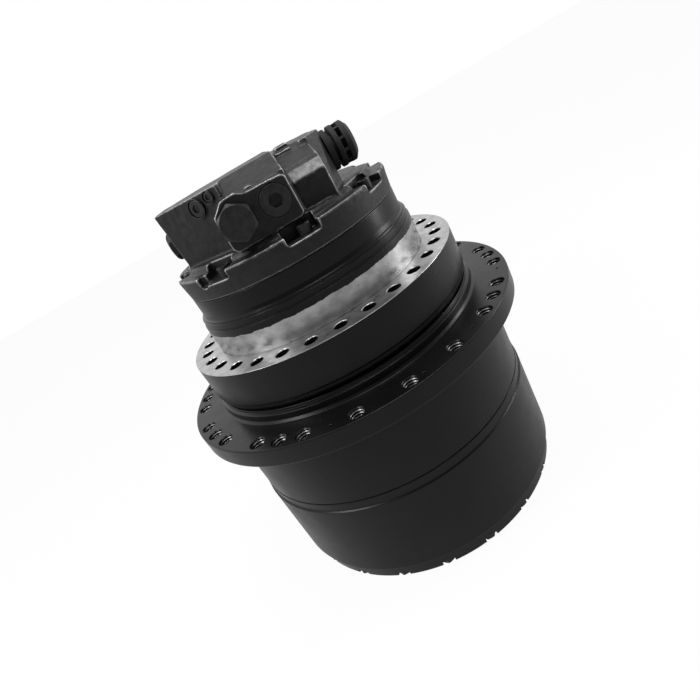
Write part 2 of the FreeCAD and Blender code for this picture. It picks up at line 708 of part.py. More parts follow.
def make_bearings_and_seals():
    """Two tapered main bearings, set back to back, and the face seal above them."""
    wide, narrow = "race_wide_radius", "race_narrow_radius"
    ends = [
        ("upper", "bearing_top_level", "upper_bearing_bottom", wide, narrow),
        ("lower", "lower_bearing_top", "lower_bearing_bottom", narrow, wide),
    ]
    for name, top, bottom, top_path, bottom_path in ends:
        turned_piece(f"{name}_bearing_inner_ring", [
            ("bearing_bore_radius", bottom),
            (bottom_path, bottom),
            (top_path, top),
            ("bearing_bore_radius", top),
        ])
        turned_piece(f"{name}_bearing_outer_ring", [
            ("bearing_outer_radius", bottom),
            ("bearing_outer_radius", top),
            (f"{top_path} + working_gap", top),
            (f"{bottom_path} + working_gap", bottom),
        ])
    turned_piece("fixed_seal_ring", [
        ("seal_inner_radius", "-frame_flange_depth"),
        ("seal_nose_radius", "seal_face_level + working_gap / 2"),
        ("seal_outer_radius", "seal_face_level + working_gap / 2"),
        ("seal_outer_radius", "-frame_flange_depth"),
    ])
    turned_piece("turning_seal_ring", [
        ("seal_inner_radius", "seal_pocket_level"),
        ("seal_outer_radius", "seal_pocket_level"),
        ("seal_outer_radius", "seal_face_level - working_gap / 2"),
        ("seal_nose_radius", "seal_face_level - working_gap / 2"),
    ])


def make_carrier_two():
    """The plate on the end of the spindle that carries the stage 2 planets."""
    body = new_body("carrier_two")
    bottom = "lower_bearing_bottom - carrier_two_thickness"
    turn(body, [
        ("carrier_two_bore", bottom),
        ("carrier_two_radius", bottom),
        ("carrier_two_radius", "lower_bearing_bottom"),
        ("spindle_bore_radius", "lower_bearing_bottom"),
        ("spindle_bore_radius", "lower_bearing_bottom + carrier_two_spigot"),
        ("carrier_two_bore", "lower_bearing_bottom + carrier_two_spigot"),
    ])
    holes = new_sketch(body, "XY_Plane", "lower_bearing_bottom")
    centre_distance = "gear_module * (sun_two_teeth + planet_two_teeth) / 2"
    draw_circle(holes, centre_distance, "0", "pin_two_radius")
    repeat_round(body, cut_in(body, holes, "carrier_two_thickness"), "planet_count")
    pieces["carrier_two"] = body

    length = "lower_bearing_bottom - stage_two_top + stage_two_width + pin_overhang"
    base_level = "stage_two_top - stage_two_width - pin_overhang"
    make_pins("planet_two_pins", "pin_two_radius", length, centre_distance, base_level)


def make_pins(name, radius, length, centre_distance, level):
    pins = []
    for k in range(int(size("planet_count"))):
        angle = f"{k} * 360 / planet_count"
        base = (f"{centre_distance} * cos({angle})", f"{centre_distance} * sin({angle})", level)
        pins.append(cylinder("planet_pin", radius, length, base))
    keep(group(name, pins), name)


def make_motor_rest():
    """The valve plate, and the bearing and seal of the motor shaft."""
    turned_piece("valve_plate", [
        ("valve_plate_bore", "block_top + working_gap"),
        ("valve_plate_radius", "block_top + working_gap"),
        ("valve_plate_radius", "cover_joint_level"),
        ("valve_plate_bore", "cover_joint_level"),
    ])
    turned_piece("shaft_bearing", [
        ("shaft_radius + fit_gap", "shaft_bearing_top - shaft_bearing_width"),
        ("shaft_bearing_radius", "shaft_bearing_top - shaft_bearing_width"),
        ("shaft_bearing_radius", "shaft_bearing_top"),
        ("shaft_radius + fit_gap", "shaft_bearing_top"),
    ])
    turned_piece("shaft_seal", [
        ("shaft_radius + fit_gap", "bulkhead_bottom"),
        ("shaft_bearing_radius", "bulkhead_bottom"),
        ("shaft_bearing_radius", "bulkhead_bottom + shaft_seal_width"),
        ("shaft_radius + fit_gap", "bulkhead_bottom + shaft_seal_width"),
    ])


def make_swash_plate():
    """The plate that sets the stroke, which tilts on its trunnions about X."""
    plate = block("swash_block", "swash_width", "swash_length", "swash_thickness",
                  ("-swash_width / 2", "-swash_length / 2", "-swash_thickness / 2"))
    half = "swash_width / 2 + trunnion_length - working_gap"
    axle = cylinder("trunnions", "trunnion_radius", f"2 * ({half})", (f"-({half})", "0", "0"), V(1, 0, 0))
    opening = cylinder("swash_opening", "swash_bore", "3 * swash_thickness", ("0", "0", "-1.5 * swash_thickness"))
    plate = cut("swash_plate", fused("swash_raw", [plate, axle]), [opening])
    plate.Placement = FreeCAD.Placement(V(), FreeCAD.Rotation(V(1, 0, 0), 0))
    bind(plate, Placement__Base__z="swash_level", Placement__Rotation__Angle="swash_angle")
    keep(plate, "swash_plate")


# ---- the pieces that turn with the sprocket ----


def sprocket_hole_steps():
    """Places of the drilled holes: two groups of singles, and threes between them."""
    steps = []
    for half_turn in (0, 22):
        steps += [half_turn + single for single in (-1, 1, 3)]
        for middle in (6, 10, 14, 18):
            steps += [half_turn + middle + side for side in (-1, 0, 1)]
    return steps


def make_sprocket_housing():
    body = new_body("sprocket_housing")
    turn(body, [
        ("seal_pocket_radius", "collar_top"),
        ("sprocket_pilot_radius", "collar_top"),
        ("sprocket_pilot_radius", "sprocket_face_level"),
        ("sprocket_flange_radius", "sprocket_face_level"),
        ("sprocket_flange_radius", "sprocket_flange_bottom"),
        ("case_radius", "sprocket_flange_bottom"),
        ("case_radius", "case_joint_level"),
        ("bearing_outer_radius", "case_joint_level"),
        ("bearing_outer_radius", "lower_bearing_top"),
        ("bearing_rib_radius", "lower_bearing_top"),
        ("bearing_rib_radius", "upper_bearing_bottom"),
        ("bearing_outer_radius", "upper_bearing_bottom"),
        ("bearing_outer_radius", "seal_pocket_level"),
        ("seal_pocket_radius", "seal_pocket_level"),
    ])
    holes = new_sketch(body, "XY_Plane", "sprocket_face_level")
    for step in sprocket_hole_steps():
        angle = f"{step} * 360 / sprocket_hole_places"
        draw_circle(holes, *round_place("sprocket_bolt_circle", angle), "sprocket_hole_radius")
    cut_in(body, holes, "sprocket_flange_thickness")
    pieces["sprocket_housing"] = body


def make_ring_gear():
    outside = cylinder("ring_outside", "ring_gear_radius", "ring_gear_length - ring_step_height",
                       ("0", "0", "ring_bottom"))
    step = cylinder("ring_step", "ring_step_radius", "ring_step_height",
                    ("0", "0", "case_joint_level - ring_step_height"))
    hollow = teeth_item("ring_hollow", "ring_teeth", "ring_bottom", "ring_gear_length", inside=True)
    keep(cut("ring_gear", fused("ring_raw", [outside, step]), [hollow]), "ring_gear")


def make_gear_cover():
    body = new_body("gear_cover")
    turn(body, [
        ("0", "base_level"),
        ("gear_cover_radius - gear_cover_bevel", "base_level"),
        ("gear_cover_radius", "base_level + gear_cover_bevel"),
        ("gear_cover_radius", "ring_bottom"),
        ("gear_cover_spigot_radius", "ring_bottom"),
        ("gear_cover_spigot_radius", "ring_bottom + gear_cover_spigot_height"),
        ("0", "ring_bottom + gear_cover_spigot_height"),
    ])
    notch = new_sketch(body, "XY_Plane", "base_level + cover_notch_depth")
    across, ahead = "cover_notch_width / 2", "gear_cover_radius + gear_cover_bevel"
    draw_outline(notch, [
        (f"-{across}", "-cover_notch_radius"),
        (f"-{across}", f"-({ahead})"),
        (across, f"-({ahead})"),
        (across, "-cover_notch_radius"),
    ])
    half_step = "180 / cover_notch_count"
    notch.setExpression("AttachmentOffset.Rotation.Angle", cells(half_step))
    repeat_round(body, cut_in(body, notch, "cover_notch_depth"), "cover_notch_count")

    recesses, holes = [], []
    for place in oil_plug_places("base_level"):
        recesses.append(cylinder("plug_recess", "oil_plug_radius + working_gap", "oil_plug_recess", place))
        holes.append(cylinder("plug_hole", "oil_plug_thread_radius",
                              "gear_cover_thickness + gear_cover_spigot_height", place))
    keep(cut("gear_cover", body, recesses + holes), "gear_cover")
    body.Label = "gear_cover_turned"

    plugs = []
    for place in oil_plug_places("base_level + oil_plug_recess / 2"):
        head = cylinder("plug_head", "oil_plug_radius", "oil_plug_recess / 2", place)
        stem = cylinder("plug_stem", "oil_plug_thread_radius", "gear_cover_thickness - oil_plug_recess / 2", place)
        socket = hexagon("plug_socket", "oil_plug_thread_radius", "oil_plug_recess", place, V(0, 0, 1))
        plugs.append(cut("oil_plug", fused("oil_plug_raw", [head, stem]), [socket]))
    keep(group("oil_plugs", plugs), "oil_plugs")


def oil_plug_places(level):
    for degrees in (0, 90, 180):
        yield (*round_place("oil_plug_circle", str(degrees)), level)


# ---- the shafts, suns, carrier 1 and planets ----


def make_motor_shaft():
    turned_piece("motor_shaft", [
        ("0", "shaft_joint_level"),
        ("shaft_radius", "shaft_joint_level"),
        ("shaft_radius", "cover_joint_level - working_gap"),
        ("shaft_tip_radius", "cover_joint_level - working_gap"),
        ("shaft_tip_radius", "cover_joint_level + shaft_tip_length"),
        ("0", "cover_joint_level + shaft_tip_length"),
    ])
    turned_piece("shaft_coupling", [
        ("shaft_radius", "shaft_joint_level - coupling_length / 2"),
        ("coupling_radius", "shaft_joint_level - coupling_length / 2"),
        ("coupling_radius", "shaft_joint_level + coupling_length / 2"),
        ("shaft_radius", "shaft_joint_level + coupling_length / 2"),
    ])
    bottom = "stage_one_top - stage_one_width - pin_overhang"
    rod = cylinder("sun_rod", "shaft_radius", f"shaft_joint_level - ({bottom})", ("0", "0", bottom))
    teeth = teeth_item("sun_one_toothing", "sun_one_teeth", bottom, "stage_one_width + 2 * pin_overhang")
    gear = fused("sun_gear_one", [rod, teeth])
    keep(turned_on_z(gear, sun_turn(*teeth_of("sun_one", "planet_one", "ring"))), "sun_gear_one")


def make_rotating_group():
    """The cylinder block and its pistons, which turn with the motor shaft."""
    body = turned_piece("cylinder_block", [
        ("shaft_radius", "block_bottom"),
        ("block_radius", "block_bottom"),
        ("block_radius", "block_top"),
        ("shaft_radius", "block_top"),
    ])
    bore = new_sketch(body, "XY_Plane", "block_bottom")
    draw_circle(bore, "0", "piston_circle", "piston_radius + fit_gap")
    repeat_round(body, cut_in(body, bore, "piston_bore_depth", upward=True), "piston_count")

    # The pistons end just above the highest sweep of the tilted swash plate
    reach = "(piston_circle + piston_radius) * tan(swash_angle)"
    foot = f"swash_level + swash_thickness / 2 / cos(swash_angle) + {reach} + 2 * working_gap"
    pistons = []
    for k in range(int(size("piston_count"))):
        across, ahead = round_place("piston_circle", f"180 - {k} * 360 / piston_count")
        pistons.append(cylinder("piston", "piston_radius", "piston_length", (across, ahead, foot)))
    keep(group("pistons", pistons), "pistons")


def make_brake():
    """The parking brake: springs press the piston on the disc, and oil lifts it off."""
    plate_top = "brake_seat_level + brake_plate_thickness"
    disc_bottom = f"{plate_top} + working_gap"
    disc_top = f"{disc_bottom} + friction_disc_thickness"
    piston_bottom = f"{disc_top} + working_gap"
    piston_top = f"{piston_bottom} + brake_piston_height"
    turned_piece("brake_plate", [
        ("brake_plate_bore", "brake_seat_level"),
        ("motor_bore_radius", "brake_seat_level"),
        ("motor_bore_radius", plate_top),
        ("brake_plate_bore", plate_top),
    ])
    turned_piece("friction_disc", [
        ("block_radius", disc_bottom),
        ("friction_disc_radius", disc_bottom),
        ("friction_disc_radius", disc_top),
        ("block_radius", disc_top),
    ])
    turned_piece("brake_piston", [
        ("brake_plate_bore", piston_bottom),
        ("motor_bore_radius - fit_gap", piston_bottom),
        ("motor_bore_radius - fit_gap", piston_top),
        ("brake_plate_bore", piston_top),
    ])
    springs = []
    for k in range(int(size("brake_spring_count"))):
        across, ahead = round_place("brake_spring_circle", f"{k} * 360 / brake_spring_count")
        length = f"cover_joint_level - ({piston_top})"
        springs.append(cylinder("brake_spring", "brake_spring_radius", length, (across, ahead, piston_top)))
    keep(group("brake_springs", springs), "brake_springs")


def make_carrier_one():
    body = new_body("carrier_one")
    bottom = "carrier_one_top - carrier_one_thickness"
    turn(body, [
        ("sun_two_journal", bottom),
        ("carrier_one_radius", bottom),
        ("carrier_one_radius", "carrier_one_top"),
        ("sun_two_journal", "carrier_one_top"),
    ])
    centre_distance = "gear_module * (sun_one_teeth + planet_one_teeth) / 2"
    holes = new_sketch(body, "XY_Plane", "carrier_one_top")
    draw_circle(holes, centre_distance, "0", "pin_one_radius")
    repeat_round(body, cut_in(body, holes, "carrier_one_thickness"), "planet_count")
    pieces["carrier_one"] = body
    base_level = "stage_one_top - stage_one_width - pin_overhang"
    make_pins("planet_one_pins", "pin_one_radius", f"carrier_one_top - ({base_level})", centre_distance, base_level)

    journal = cylinder("sun_two_journal", "sun_two_journal", "carrier_one_thickness", ("0", "0", bottom))
    teeth = teeth_item("sun_two_toothing", "sun_two_teeth", "carrier_one_top", "stage_two_top - carrier_one_top")
    bore = cylinder("sun_two_bore", "sun_two_bore", f"stage_two_top - ({bottom})", ("0", "0", bottom))
    gear = cut("sun_gear_two", fused("sun_two_raw", [journal, teeth]), [bore])
    keep(turned_on_z(gear, sun_turn(*teeth_of("sun_two", "planet_two", "ring"))), "sun_gear_two")


def make_planets(stage, top, width, pin_radius):
    """The planet gears of a stage, each turned to mesh with the ring gear."""
    suns, planets, ring = teeth_of(f"sun_{stage}", f"planet_{stage}", "ring")
    centre_distance = size("gear_module") * (suns + planets) / 2
    count = int(size("planet_count"))
    for k in range(count):
        place = 360 * k / count
        name = f"planet_{stage}_gear_{chr(ord('a') + k)}"
        prism = teeth_item("planet_toothing", f"planet_{stage}_teeth", f"{top} - {width}", width)
        bore = cylinder("planet_bore", f"{pin_radius} + fit_gap", width, ("0", "0", f"{top} - {width}"))
        angle = math.radians(place)
        x, y = centre_distance * math.cos(angle), centre_distance * math.sin(angle)
        keep(turned_on_z(cut(name, prism, [bore]), planet_turn(ring, planets, place), x, y), name)


def check_and_write():
    """Stop if anything failed, then write one STEP file for each piece."""
    doc.recompute()
    for item in doc.Objects:
        if {"Invalid", "Error"} & set(item.State):
            raise RuntimeError(f"{item.Label} failed: {item.State}")
    os.makedirs("parts", exist_ok=True)
    for name, item in pieces.items():
        shape = item.Shape
        if shape.isNull() or not shape.isValid() or not shape.Solids:
            raise RuntimeError(f"{name} has no valid solid")
        shape.exportStep(f"parts/{name}.step")
    print(len(pieces), "pieces")


def main():
    write_sheet()
    make_hub_casting()
    make_motor_casing()
    make_end_cover()
    make_cover_plugs()
    make_spool()
    make_bearings_and_seals()
    make_carrier_two()
    make_motor_rest()
    make_swash_plate()
    make_sprocket_housing()
    make_ring_gear()
    make_gear_cover()
    make_motor_shaft()
    make_rotating_group()
    make_brake()
    make_carrier_one()
    make_planets("one", "stage_one_top", "stage_one_width", "pin_one_radius")
    make_planets("two", "stage_two_top", "stage_two_width", "pin_two_radius")
    check_and_write()


main()
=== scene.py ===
"""The looks of an excavator final drive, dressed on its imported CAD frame.

Lengths are in millimetres, and levels are heights on Z, counted from the frame face.
"""

import json
import math
from math import cos, pi, radians, sin

import bmesh
import bpy
from mathutils import Matrix, Vector, noise


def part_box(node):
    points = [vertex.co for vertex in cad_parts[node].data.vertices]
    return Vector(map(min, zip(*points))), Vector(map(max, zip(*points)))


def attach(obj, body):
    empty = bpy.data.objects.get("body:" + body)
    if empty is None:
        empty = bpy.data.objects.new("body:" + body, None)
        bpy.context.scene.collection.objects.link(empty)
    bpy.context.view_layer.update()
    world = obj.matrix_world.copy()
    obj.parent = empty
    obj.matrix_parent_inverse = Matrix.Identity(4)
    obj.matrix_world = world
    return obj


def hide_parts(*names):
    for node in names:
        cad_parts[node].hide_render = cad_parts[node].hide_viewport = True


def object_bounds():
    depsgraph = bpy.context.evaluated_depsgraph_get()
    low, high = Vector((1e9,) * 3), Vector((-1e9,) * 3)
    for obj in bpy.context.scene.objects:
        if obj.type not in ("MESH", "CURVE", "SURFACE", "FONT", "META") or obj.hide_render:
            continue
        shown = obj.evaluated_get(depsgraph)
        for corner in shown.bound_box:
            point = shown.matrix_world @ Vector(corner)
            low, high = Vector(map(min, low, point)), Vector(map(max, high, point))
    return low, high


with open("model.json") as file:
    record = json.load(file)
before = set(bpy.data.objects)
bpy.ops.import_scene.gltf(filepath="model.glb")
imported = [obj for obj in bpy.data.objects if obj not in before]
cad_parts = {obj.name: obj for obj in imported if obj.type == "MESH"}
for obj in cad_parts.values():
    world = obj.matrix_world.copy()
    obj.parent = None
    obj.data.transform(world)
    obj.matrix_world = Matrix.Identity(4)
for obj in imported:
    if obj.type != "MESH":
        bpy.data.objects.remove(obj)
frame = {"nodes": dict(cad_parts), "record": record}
cad_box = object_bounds()

MM = 0.001
FINE, COARSE = 240, 72  # steps round a large and a small circle
OVERCUT = 5  # how far a cutter reaches past the face it opens


# ---------------------------------------------------------------- sizes

# Inside of the hub and of the motor casing
SWASH_BAY, MOTOR_BORE, SHAFT_BORE, SPINDLE_BORE = 100, 108, 42, 95
BRAKE_SEAT, BULKHEAD_TOP, BULKHEAD_BOTTOM = 20, -54, -94

# Outside of the hub
SPINDLE, SHOULDER = 120, 130
FLANGE_LIP, BEARING_TOP = -54, -97
FRAME_HOLE_DEPTH = 34
EDGE_DIMPLES = (-41, -38.6, -35.2)  # degrees from the front

# Motor casing
BOSS_TOP, BAND, CASING_WALL = 35, 149.5, 144.4
PAINT_LINE = 30  # the highest level that the bare iron of the boss reaches

# Sprocket housing
SEAL_POCKET, SEAL_FLOOR = 176, -86
BEARING_SEAT, BEARING_RIB, RIB_TOP, RIB_BOTTOM = 155, 148, -130, -142
SPROCKET_FACE, SPROCKET_BACK, CASE = -72, -96, 203
SPROCKET_CIRCLE, SPROCKET_PLACES = 222, 44
SINGLE_HOLES = (-1, 1, 3, 21, 23, 25)
TRIPLE_HOLES = (6, 10, 14, 18, 28, 32, 36, 40)  # the middle hole of each three
SPROCKET_HOLE_DEPTH = 30
DRILL_SPOTS = (12.6, 33.0, 67, 118, 196, 257, 344)  # degrees from the front

# Ring gear and gear cover
RING_TEETH, TOOTH_TIP, TOOTH_ROOT = 56, 162.6, 175.2
HALF_TIP, HALF_ROOT = radians(1.02), radians(2.55)
SPIGOT = 158
NOTCHES, NOTCH_DEPTH, NOTCH_HALF_WIDTH, NOTCH_END = 20, 7, 8.75, 184
COVER_BOLT_CIRCLE = 191.5
OIL_PLUG_CIRCLE, OIL_PLUG_ANGLES = 128, (0, 90, 180)
OIL_HEAD, OIL_THREAD, OIL_RECESS = 17.4, 12, 11

# End cover and its valve head
POCKETS, POCKET_START = 8, -39.5  # the screw pockets, and the angle of the first in degrees
SCREW_CIRCLE, SCREW_SEAT, SCREW_TURN = 130, 91.2, 2.5  # the turn is in degrees, from the pocket's middle
COVER_RIM_TOP, COVER_TOP = 101.5, 108.5
HEAD_FOOT = 98
BOSS_FRONT = -129  # front of the boss round the spool and the relief valve, along Y
SLANT_START, SLANT_RUN = (-121, -45), (81, -65)  # the slanted left face, on X and Y
SLANT_OUT = Vector((SLANT_RUN[1], -SLANT_RUN[0], 0)).normalized()
PORT_FACE = 88  # face of the side port, along X
PAINTED_HIGHLIGHT_BEVEL = ((31.5, 70.5), (-114, -99), (139.5, 150.5))  # the bevel with a painted highlight, by its spans

# Camera, light and floor
CAMERA_PLACE = (-4.96, -666.47, 190.09)
CAMERA_TILT, CAMERA_ROLL = 23.95, -30.3  # degrees
CAMERA_LENS, CAMERA_SENSOR = 26.15, 36
GLOW_SPAN = (-0.55, 0.35)  # where the surround grows from dim to white, from front to back
GLOW_FRONT, GLOW_DIFFUSE = 0.12, 0.35  # the surround behind the camera, and its share of plain light
FLOOR_SIZE, FLOOR_GAP = 14, 0.0005  # in metres
FLOOR_TONE, FLOOR_GLOW, FLOOR_SEEN, FLOOR_MIRRORED = 0.55, 1.06, 0.9, 0.35


def node_box(node):
    """A node's lowest and highest corners."""
    low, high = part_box(node)
    return [v / MM for v in low], [v / MM for v in high]


def middle(node):
    """The middle of a node's box."""
    return [(low + high) / 2 for low, high in zip(*node_box(node))]


def mount_sizes(name):
    """The sizes of a mount in the part's record."""
    return next(m for m in frame["record"]["mounts"] if m["name"] == name)["dims"]


# ---------------------------------------------------------------- materials

NUMBERS, COLOURS = (2, 3, 0), (6, 7, 2)  # a Mix node's first input, second input and output


class Nodes:
    """A short way to write a node tree."""

    def __init__(self, tree):
        self.tree = tree

    def node(self, kind, **fields):
        """A new node with its fields set."""
        made = self.tree.nodes.new(kind)
        for field, value in fields.items():
            setattr(made, field, value)
        return made

    def feed(self, socket, value):
        """Link another node's output to a socket, or set the socket's own value."""
        if hasattr(value, "is_output"):
            self.tree.links.new(value, socket)
        else:
            socket.default_value = value

    def fed(self, kind, *values, **fields):
        """A new node with its first inputs fed in order."""
        made = self.node(kind, **fields)
        for socket, value in zip(made.inputs, values):
            self.feed(socket, value)
        return made

    def math(self, operation, *values):
        return self.fed("ShaderNodeMath", *values, operation=operation).outputs[0]

    def mix(self, share, first, second, kind=COLOURS):
        """A blend of two colours or greys, or of two numbers."""
        made = self.fed("ShaderNodeMix", share, data_type="RGBA" if kind is COLOURS else "FLOAT")
        for index, value in zip(kind, (first, second)):
            plain = kind is COLOURS and isinstance(value, (int, float))
            self.feed(made.inputs[index], (value, value, value, 1) if plain else value)
        return made.outputs[kind[2]]

    def seen(self, path):
        """1 for the rays that come straight from the camera."""
        return self.math("MAXIMUM", path.outputs["Is Camera Ray"], path.outputs["Is Transmission Ray"])


class Shader(Nodes):
    """A material with one glossy surface, its patterns placed on the object."""

    def __init__(self, name):
        self.material = bpy.data.materials.new(name)
        self.material.use_nodes = True
        super().__init__(self.material.node_tree)
        self.tree.nodes.clear()
        self.surface = self.node("ShaderNodeBsdfPrincipled")
        self.output = self.node("ShaderNodeOutputMaterial")
        self.tree.links.new(self.surface.outputs["BSDF"], self.output.inputs["Surface"])
        self.place = self.node("ShaderNodeTexCoord").outputs["Object"]
        self.bumps = None

    def set(self, **inputs):
        """Feed the surface's inputs by name."""
        for name, value in inputs.items():
            self.feed(self.surface.inputs[name.replace("_", " ")], value)

    def noise(self, size, detail=4, stretch=(1, 1, 1)):
        """Noise whose grains measure about size millimetres."""
        scaled = self.fed("ShaderNodeVectorMath", self.place, stretch, operation="MULTIPLY")
        made = self.node("ShaderNodeTexNoise")
        self.feed(made.inputs["Vector"], scaled.outputs[0])
        made.inputs["Scale"].default_value = 1 / (size * MM)
        made.inputs["Detail"].default_value = detail
        return made.outputs["Fac"]

    def ramp(self, value, *stops):
        """A grey that blends between (position, grey) stops."""
        made = self.fed("ShaderNodeValToRGB", value)
        points = made.color_ramp.elements
        while len(points) < len(stops):
            points.new(0.5)
        for point, (position, grey) in zip(points, stops):
            point.position = position
            point.color = (grey, grey, grey, 1)
        return made.outputs["Color"]

    def within(self, spans, soft):
        """1 inside a box given by its X, Y and Z spans, with soft faces."""
        split = self.fed("ShaderNodeSeparateXYZ", self.place)
        share = 1.0
        for axis, (low, high) in zip("XYZ", spans):
            level = self.math("DIVIDE", split.outputs[axis], MM)
            for edge, way in ((low, 1), (high, -1)):
                inside = self.math("MULTIPLY", self.math("SUBTRACT", level, edge), way / soft)
                clamped = self.math("MINIMUM", self.math("MAXIMUM", inside, 0.0), 1.0)
                share = self.math("MULTIPLY", share, clamped)
        return share

    def height(self, value, depth):
        """Relief of the given depth, added to the relief so far."""
        bump = self.node("ShaderNodeBump")
        self.feed(bump.inputs["Height"], value)
        bump.inputs["Strength"].default_value = 1
        bump.inputs["Distance"].default_value = depth * MM
        if self.bumps:
            self.feed(bump.inputs["Normal"], self.bumps)
        self.bumps = bump.outputs["Normal"]
        self.feed(self.surface.inputs["Normal"], self.bumps)
        return self


def enamel_tone(look):
    return look.ramp(look.noise(60, 3), (0.3, 0.004), (0.75, 0.008))


def enamel_gloss(look):
    return look.ramp(look.noise(35, 5), (0.3, 0.24), (0.75, 0.36))


def black_paint():
    """Gloss black enamel with faint orange peel and soft scuffs."""
    paint = Shader("black_paint")
    paint.set(Base_Color=enamel_tone(paint), Roughness=enamel_gloss(paint), Specular_IOR_Level=0.24)
    return paint.height(paint.noise(1.6, 2), 0.012).height(paint.noise(22, 2), 0.05).material


def cast_paint():
    """Matt black paint over a sand casting, rubbed bright along its edges, with a painted highlight on one
    bevel.
    """
    paint = Shader("cast_paint")
    edge = paint.node("ShaderNodeNewGeometry").outputs["Pointiness"]
    worn = paint.math("ADD", edge, paint.math("MULTIPLY", paint.noise(5, 4), 0.02))
    rub = paint.ramp(worn, (0.525, 0.0), (0.56, 1.0))
    matt = paint.ramp(paint.noise(9, 6), (0.3, 0.009), (0.75, 0.022))
    # Painted highlight: the bevel facing up and forward gets a bright grey base colour, standing in for light
    # falling on it from above and in front.
    bright = paint.ramp(paint.noise(5, 5), (0.35, 0.2), (0.7, 0.42))
    base = paint.mix(paint.within(PAINTED_HIGHLIGHT_BEVEL, 1.2), matt, bright)
    paint.set(Base_Color=paint.mix(rub, base, 0.4), Specular_IOR_Level=0.35)
    paint.set(Roughness=paint.ramp(paint.noise(4, 5), (0.3, 0.38), (0.75, 0.56)))
    paint.set(Metallic=paint.math("MULTIPLY", rub, 0.7))
    return paint.height(paint.noise(0.9, 5), 0.12).height(paint.noise(3.5, 4), 0.2).material


def hub_finish(bare_top):
    """Black enamel, and bare turned iron between the frame face and a ragged paint line."""
    hub = Shader("hub_finish")
    across = hub.fed("ShaderNodeSeparateXYZ", hub.place)
    level = hub.math("DIVIDE", across.outputs["Z"], MM)
    ragged = hub.math("ADD", level, hub.math("MULTIPLY", hub.noise(14, 6), 6.0))
    below = hub.math("LESS_THAN", ragged, bare_top)
    above = hub.math("GREATER_THAN", level, -0.6)
    bare = hub.math("MULTIPLY", below, above)
    blotch = hub.ramp(hub.noise(14, 4, (1, 1, 1.4)), (0.3, 0.34), (0.5, 0.46), (0.7, 0.56))
    turned = hub.ramp(hub.noise(9, 4), (0.3, 0.26), (0.7, 0.38))
    hub.set(Base_Color=hub.mix(bare, enamel_tone(hub), blotch), Specular_IOR_Level=0.24)
    hub.set(Roughness=hub.mix(bare, enamel_gloss(hub), turned), Metallic=hub.math("MULTIPLY", bare, 0.95))
    lines = hub.noise(0.5, 2, (0.02, 0.02, 1))
    return hub.height(hub.noise(1.6, 2), 0.012).height(lines, 0.01).material


def plain_finish(name, dark, light, rough, metallic, grain, depth):
    """Turned, ground or moulded pieces: two tones, and a fine grain of the given size and depth."""
    look = Shader(name)
    look.set(Base_Color=look.ramp(look.noise(grain * 8, 5), (0.3, dark), (0.75, light)), Metallic=metallic)
    look.set(Roughness=look.ramp(look.noise(grain * 5, 4), (0.3, rough), (0.75, rough + 0.14)))
    return look.height(look.noise(grain, 3), depth).material


# ---------------------------------------------------------------- mesh building


def from_bmesh(name, shape, material):
    """A piece made of a shape."""
    bmesh.ops.remove_doubles(shape, verts=shape.verts, dist=1e-6)
    bmesh.ops.recalc_face_normals(shape, faces=shape.faces)
    mesh = bpy.data.meshes.new(name)
    shape.to_mesh(mesh)
    shape.free()
    made = bpy.data.objects.new(name, mesh)
    bpy.context.scene.collection.objects.link(made)
    made.data.materials.append(material)
    return made


def helper(name, shape):
    """A piece that only shapes others, so its material is never seen."""
    return from_bmesh(name, shape, bpy.data.materials[0])


def rounded(profile, steps=4):
    """The closed profile with each (radius, level, fillet) corner turned into an arc."""
    points = []
    for k, (x, z, fillet) in enumerate(profile):
        corner = Vector((x, z))
        before = Vector(profile[k - 1][:2]) - corner
        after = Vector(profile[(k + 1) % len(profile)][:2]) - corner
        if not fillet or abs(before.normalized().cross(after.normalized())) < 1e-3:
            points.append(corner)
            continue
        half = before.angle(after) / 2
        reach = min(fillet / math.tan(half), 0.45 * before.length, 0.45 * after.length)
        start, end = corner + before.normalized() * reach, corner + after.normalized() * reach
        for step in range(steps + 1):
            share = step / steps
            points.append(start.lerp(corner, share).lerp(corner.lerp(end, share), share))
    return points


def lathe_bmesh(profile, steps=FINE):
    """A closed profile of (radius, level, fillet) corners turned about Z."""
    points = rounded(profile)
    shape = bmesh.new()
    rings = []
    for point in points:
        radius, level = point.x * MM, point.y * MM
        if radius < 1e-7:
            rings.append([shape.verts.new((0, 0, level))] * steps)
            continue
        angles = (2 * pi * k / steps for k in range(steps))
        rings.append([shape.verts.new((radius * cos(a), radius * sin(a), level)) for a in angles])
    for ring, following in zip(rings, rings[1:] + rings[:1]):
        for k in range(steps):
            corners = [ring[k - 1], ring[k], following[k], following[k - 1]]
            kept = [v for n, v in enumerate(corners) if v is not corners[n - 1]]
            if len(kept) > 2:
                shape.faces.new(kept)
    return shape


def cylinder(radius, low, high, steps):
    """A plain cylinder about Z, between two levels."""
    return lathe_bmesh([(0, low, 0), (radius, low, 0), (radius, high, 0), (0, high, 0)], steps)


def prism_bmesh(outline, low, high, axis="Z"):
    """A closed prism along an axis. The outline gives the other two coordinates, in X, Y, Z order."""
    order = {"X": (2, 0, 1), "Y": (0, 2, 1), "Z": (0, 1, 2)}[axis]
    shape = bmesh.new()
    ends = []
    for level in (low, high):
        corners = [(a, b, level) for a, b in outline]
        ends.append([shape.verts.new([c[n] * MM for n in order]) for c in corners])
    for end in ends:
        shape.faces.new(end)
    for k in range(len(outline)):
        shape.faces.new((ends[0][k - 1], ends[0][k], ends[1][k], ends[1][k - 1]))
    bmesh.ops.recalc_face_normals(shape, faces=shape.faces)
    return shape


def box_bmesh(low, high):
    """A box between two opposite corners."""
    outline = [(low[0], low[1]), (high[0], low[1]), (high[0], high[1]), (low[0], high[1])]
    return prism_bmesh(outline, low[2], high[2])


def loft_bmesh(under, over, low, high):
    """A closed block between two outlines of the same number of corners, at two levels."""
    shape = prism_bmesh(under, low, high)
    shape.verts.ensure_lookup_table()
    for vertex, (x, y) in zip(shape.verts[len(under):], over):
        vertex.co = Vector((x, y, high)) * MM
    return shape


